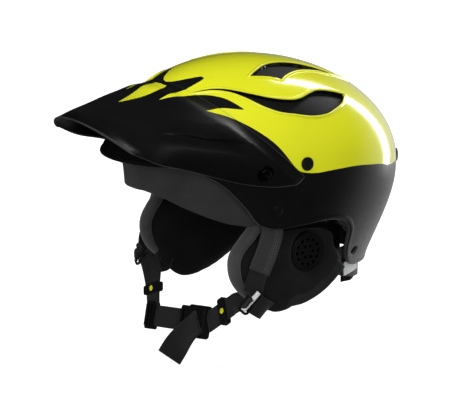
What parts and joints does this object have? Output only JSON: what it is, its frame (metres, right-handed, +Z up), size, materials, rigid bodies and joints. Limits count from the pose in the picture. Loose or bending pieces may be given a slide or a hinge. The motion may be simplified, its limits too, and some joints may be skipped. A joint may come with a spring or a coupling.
{
  "type": "water sports helmet",
  "caption": "Full-shell paddling helmet with a fixed black peak, vented shell, foam liner, padded ear pieces, fastened chin strap and nape cradle.",
  "frame": {"origin": "on the midplane at the level where the shell is widest, halfway along the shell's length, inside the head cavity", "axes": "+Z up to the crown, -Y to the peak and the wearer's face, +X to the wearer's left"},
  "size_m": [0.2202, 0.3315, 0.2753],
  "materials": {
    "shell_paint": "gloss neon yellow and black paint",
    "liner_foam": "matte fine-beaded foam",
    "pad_fabric": "soft brushed fabric over foam",
    "peak_plastic": "satin fine-textured",
    "badge_paint": "gloss",
    "black_metal": "satin black",
    "bare_metal": "zinc plated",
    "plug_rubber": "matte",
    "clip_plastic": "gloss",
    "mesh_plastic": "satin",
    "grey_webbing": "woven",
    "black_webbing": "woven",
    "ring_plastic": "satin light grey",
    "buckle_plastic": "satin",
    "cradle_plastic": "satin"
  },
  "bodies": {
    "helmet": {"outer_shell": "shell_paint", "shock_liner": "liner_foam", "brow_liner": "liner_foam", "brow_pad": "pad_fabric", "crown_pad": "pad_fabric", "rear_pad": "pad_fabric", "side_pads": "pad_fabric", "visor": "peak_plastic", "visor_badge": "badge_paint", "visor_screws": "black_metal", "visor_washers": "black_metal", "visor_nuts": "bare_metal", "shell_plugs": "plug_rubber", "strap_rivets": "black_metal", "rear_clip": "clip_plastic", "left_ear_pad": "pad_fabric", "right_ear_pad": "pad_fabric", "left_ear_mesh": "mesh_plastic", "right_ear_mesh": "mesh_plastic", "left_upper_strap": "grey_webbing", "right_upper_strap": "grey_webbing", "nape_pins": "bare_metal"},
    "chin_strap": {"left_strap_ring": "ring_plastic", "right_strap_ring": "ring_plastic", "left_chin_strap": "black_webbing", "right_chin_strap": "black_webbing", "buckle_socket": "buckle_plastic", "strap_tail": "black_webbing", "ladder_lock": "buckle_plastic"},
    "left_keeper": {"left_keeper": "buckle_plastic"},
    "right_keeper": {"right_keeper": "buckle_plastic"},
    "buckle_plug": {"buckle_plug": "buckle_plastic", "adjuster_strap": "black_webbing"},
    "nape_cradle": {"nape_cradle": "cradle_plastic", "nape_pad": "pad_fabric", "nape_tabs": "ring_plastic"}
  },
  "joints": [
    {"name": "chin_strap_swing", "type": "hinge", "parent": "helmet", "child": "chin_strap", "pos_m": [0, -0.064, -0.107], "axis": [1, 0, 0], "range_deg": [-12, 30]},
    {"name": "left_keeper_slide", "type": "slide", "parent": "chin_strap", "child": "left_keeper", "axis": [-0.774, -0.1862, -0.6052], "range_m": [-0.006, 0.008]},
    {"name": "right_keeper_slide", "type": "slide", "parent": "chin_strap", "child": "right_keeper", "axis": [0.4472, -0.263, -0.8549], "range_m": [-0.006, 0.006]},
    {"name": "buckle_release", "type": "slide", "parent": "chin_strap", "child": "buckle_plug", "axis": [-0.9835, -0.0532, -0.1729], "range_m": [0, 0.022]},
    {"name": "nape_cradle_tilt", "type": "hinge", "parent": "helmet", "child": "nape_cradle", "pos_m": [0, 0.045, -0.058], "axis": [1, 0, 0], "range_deg": [-12, 2]}
  ]
}
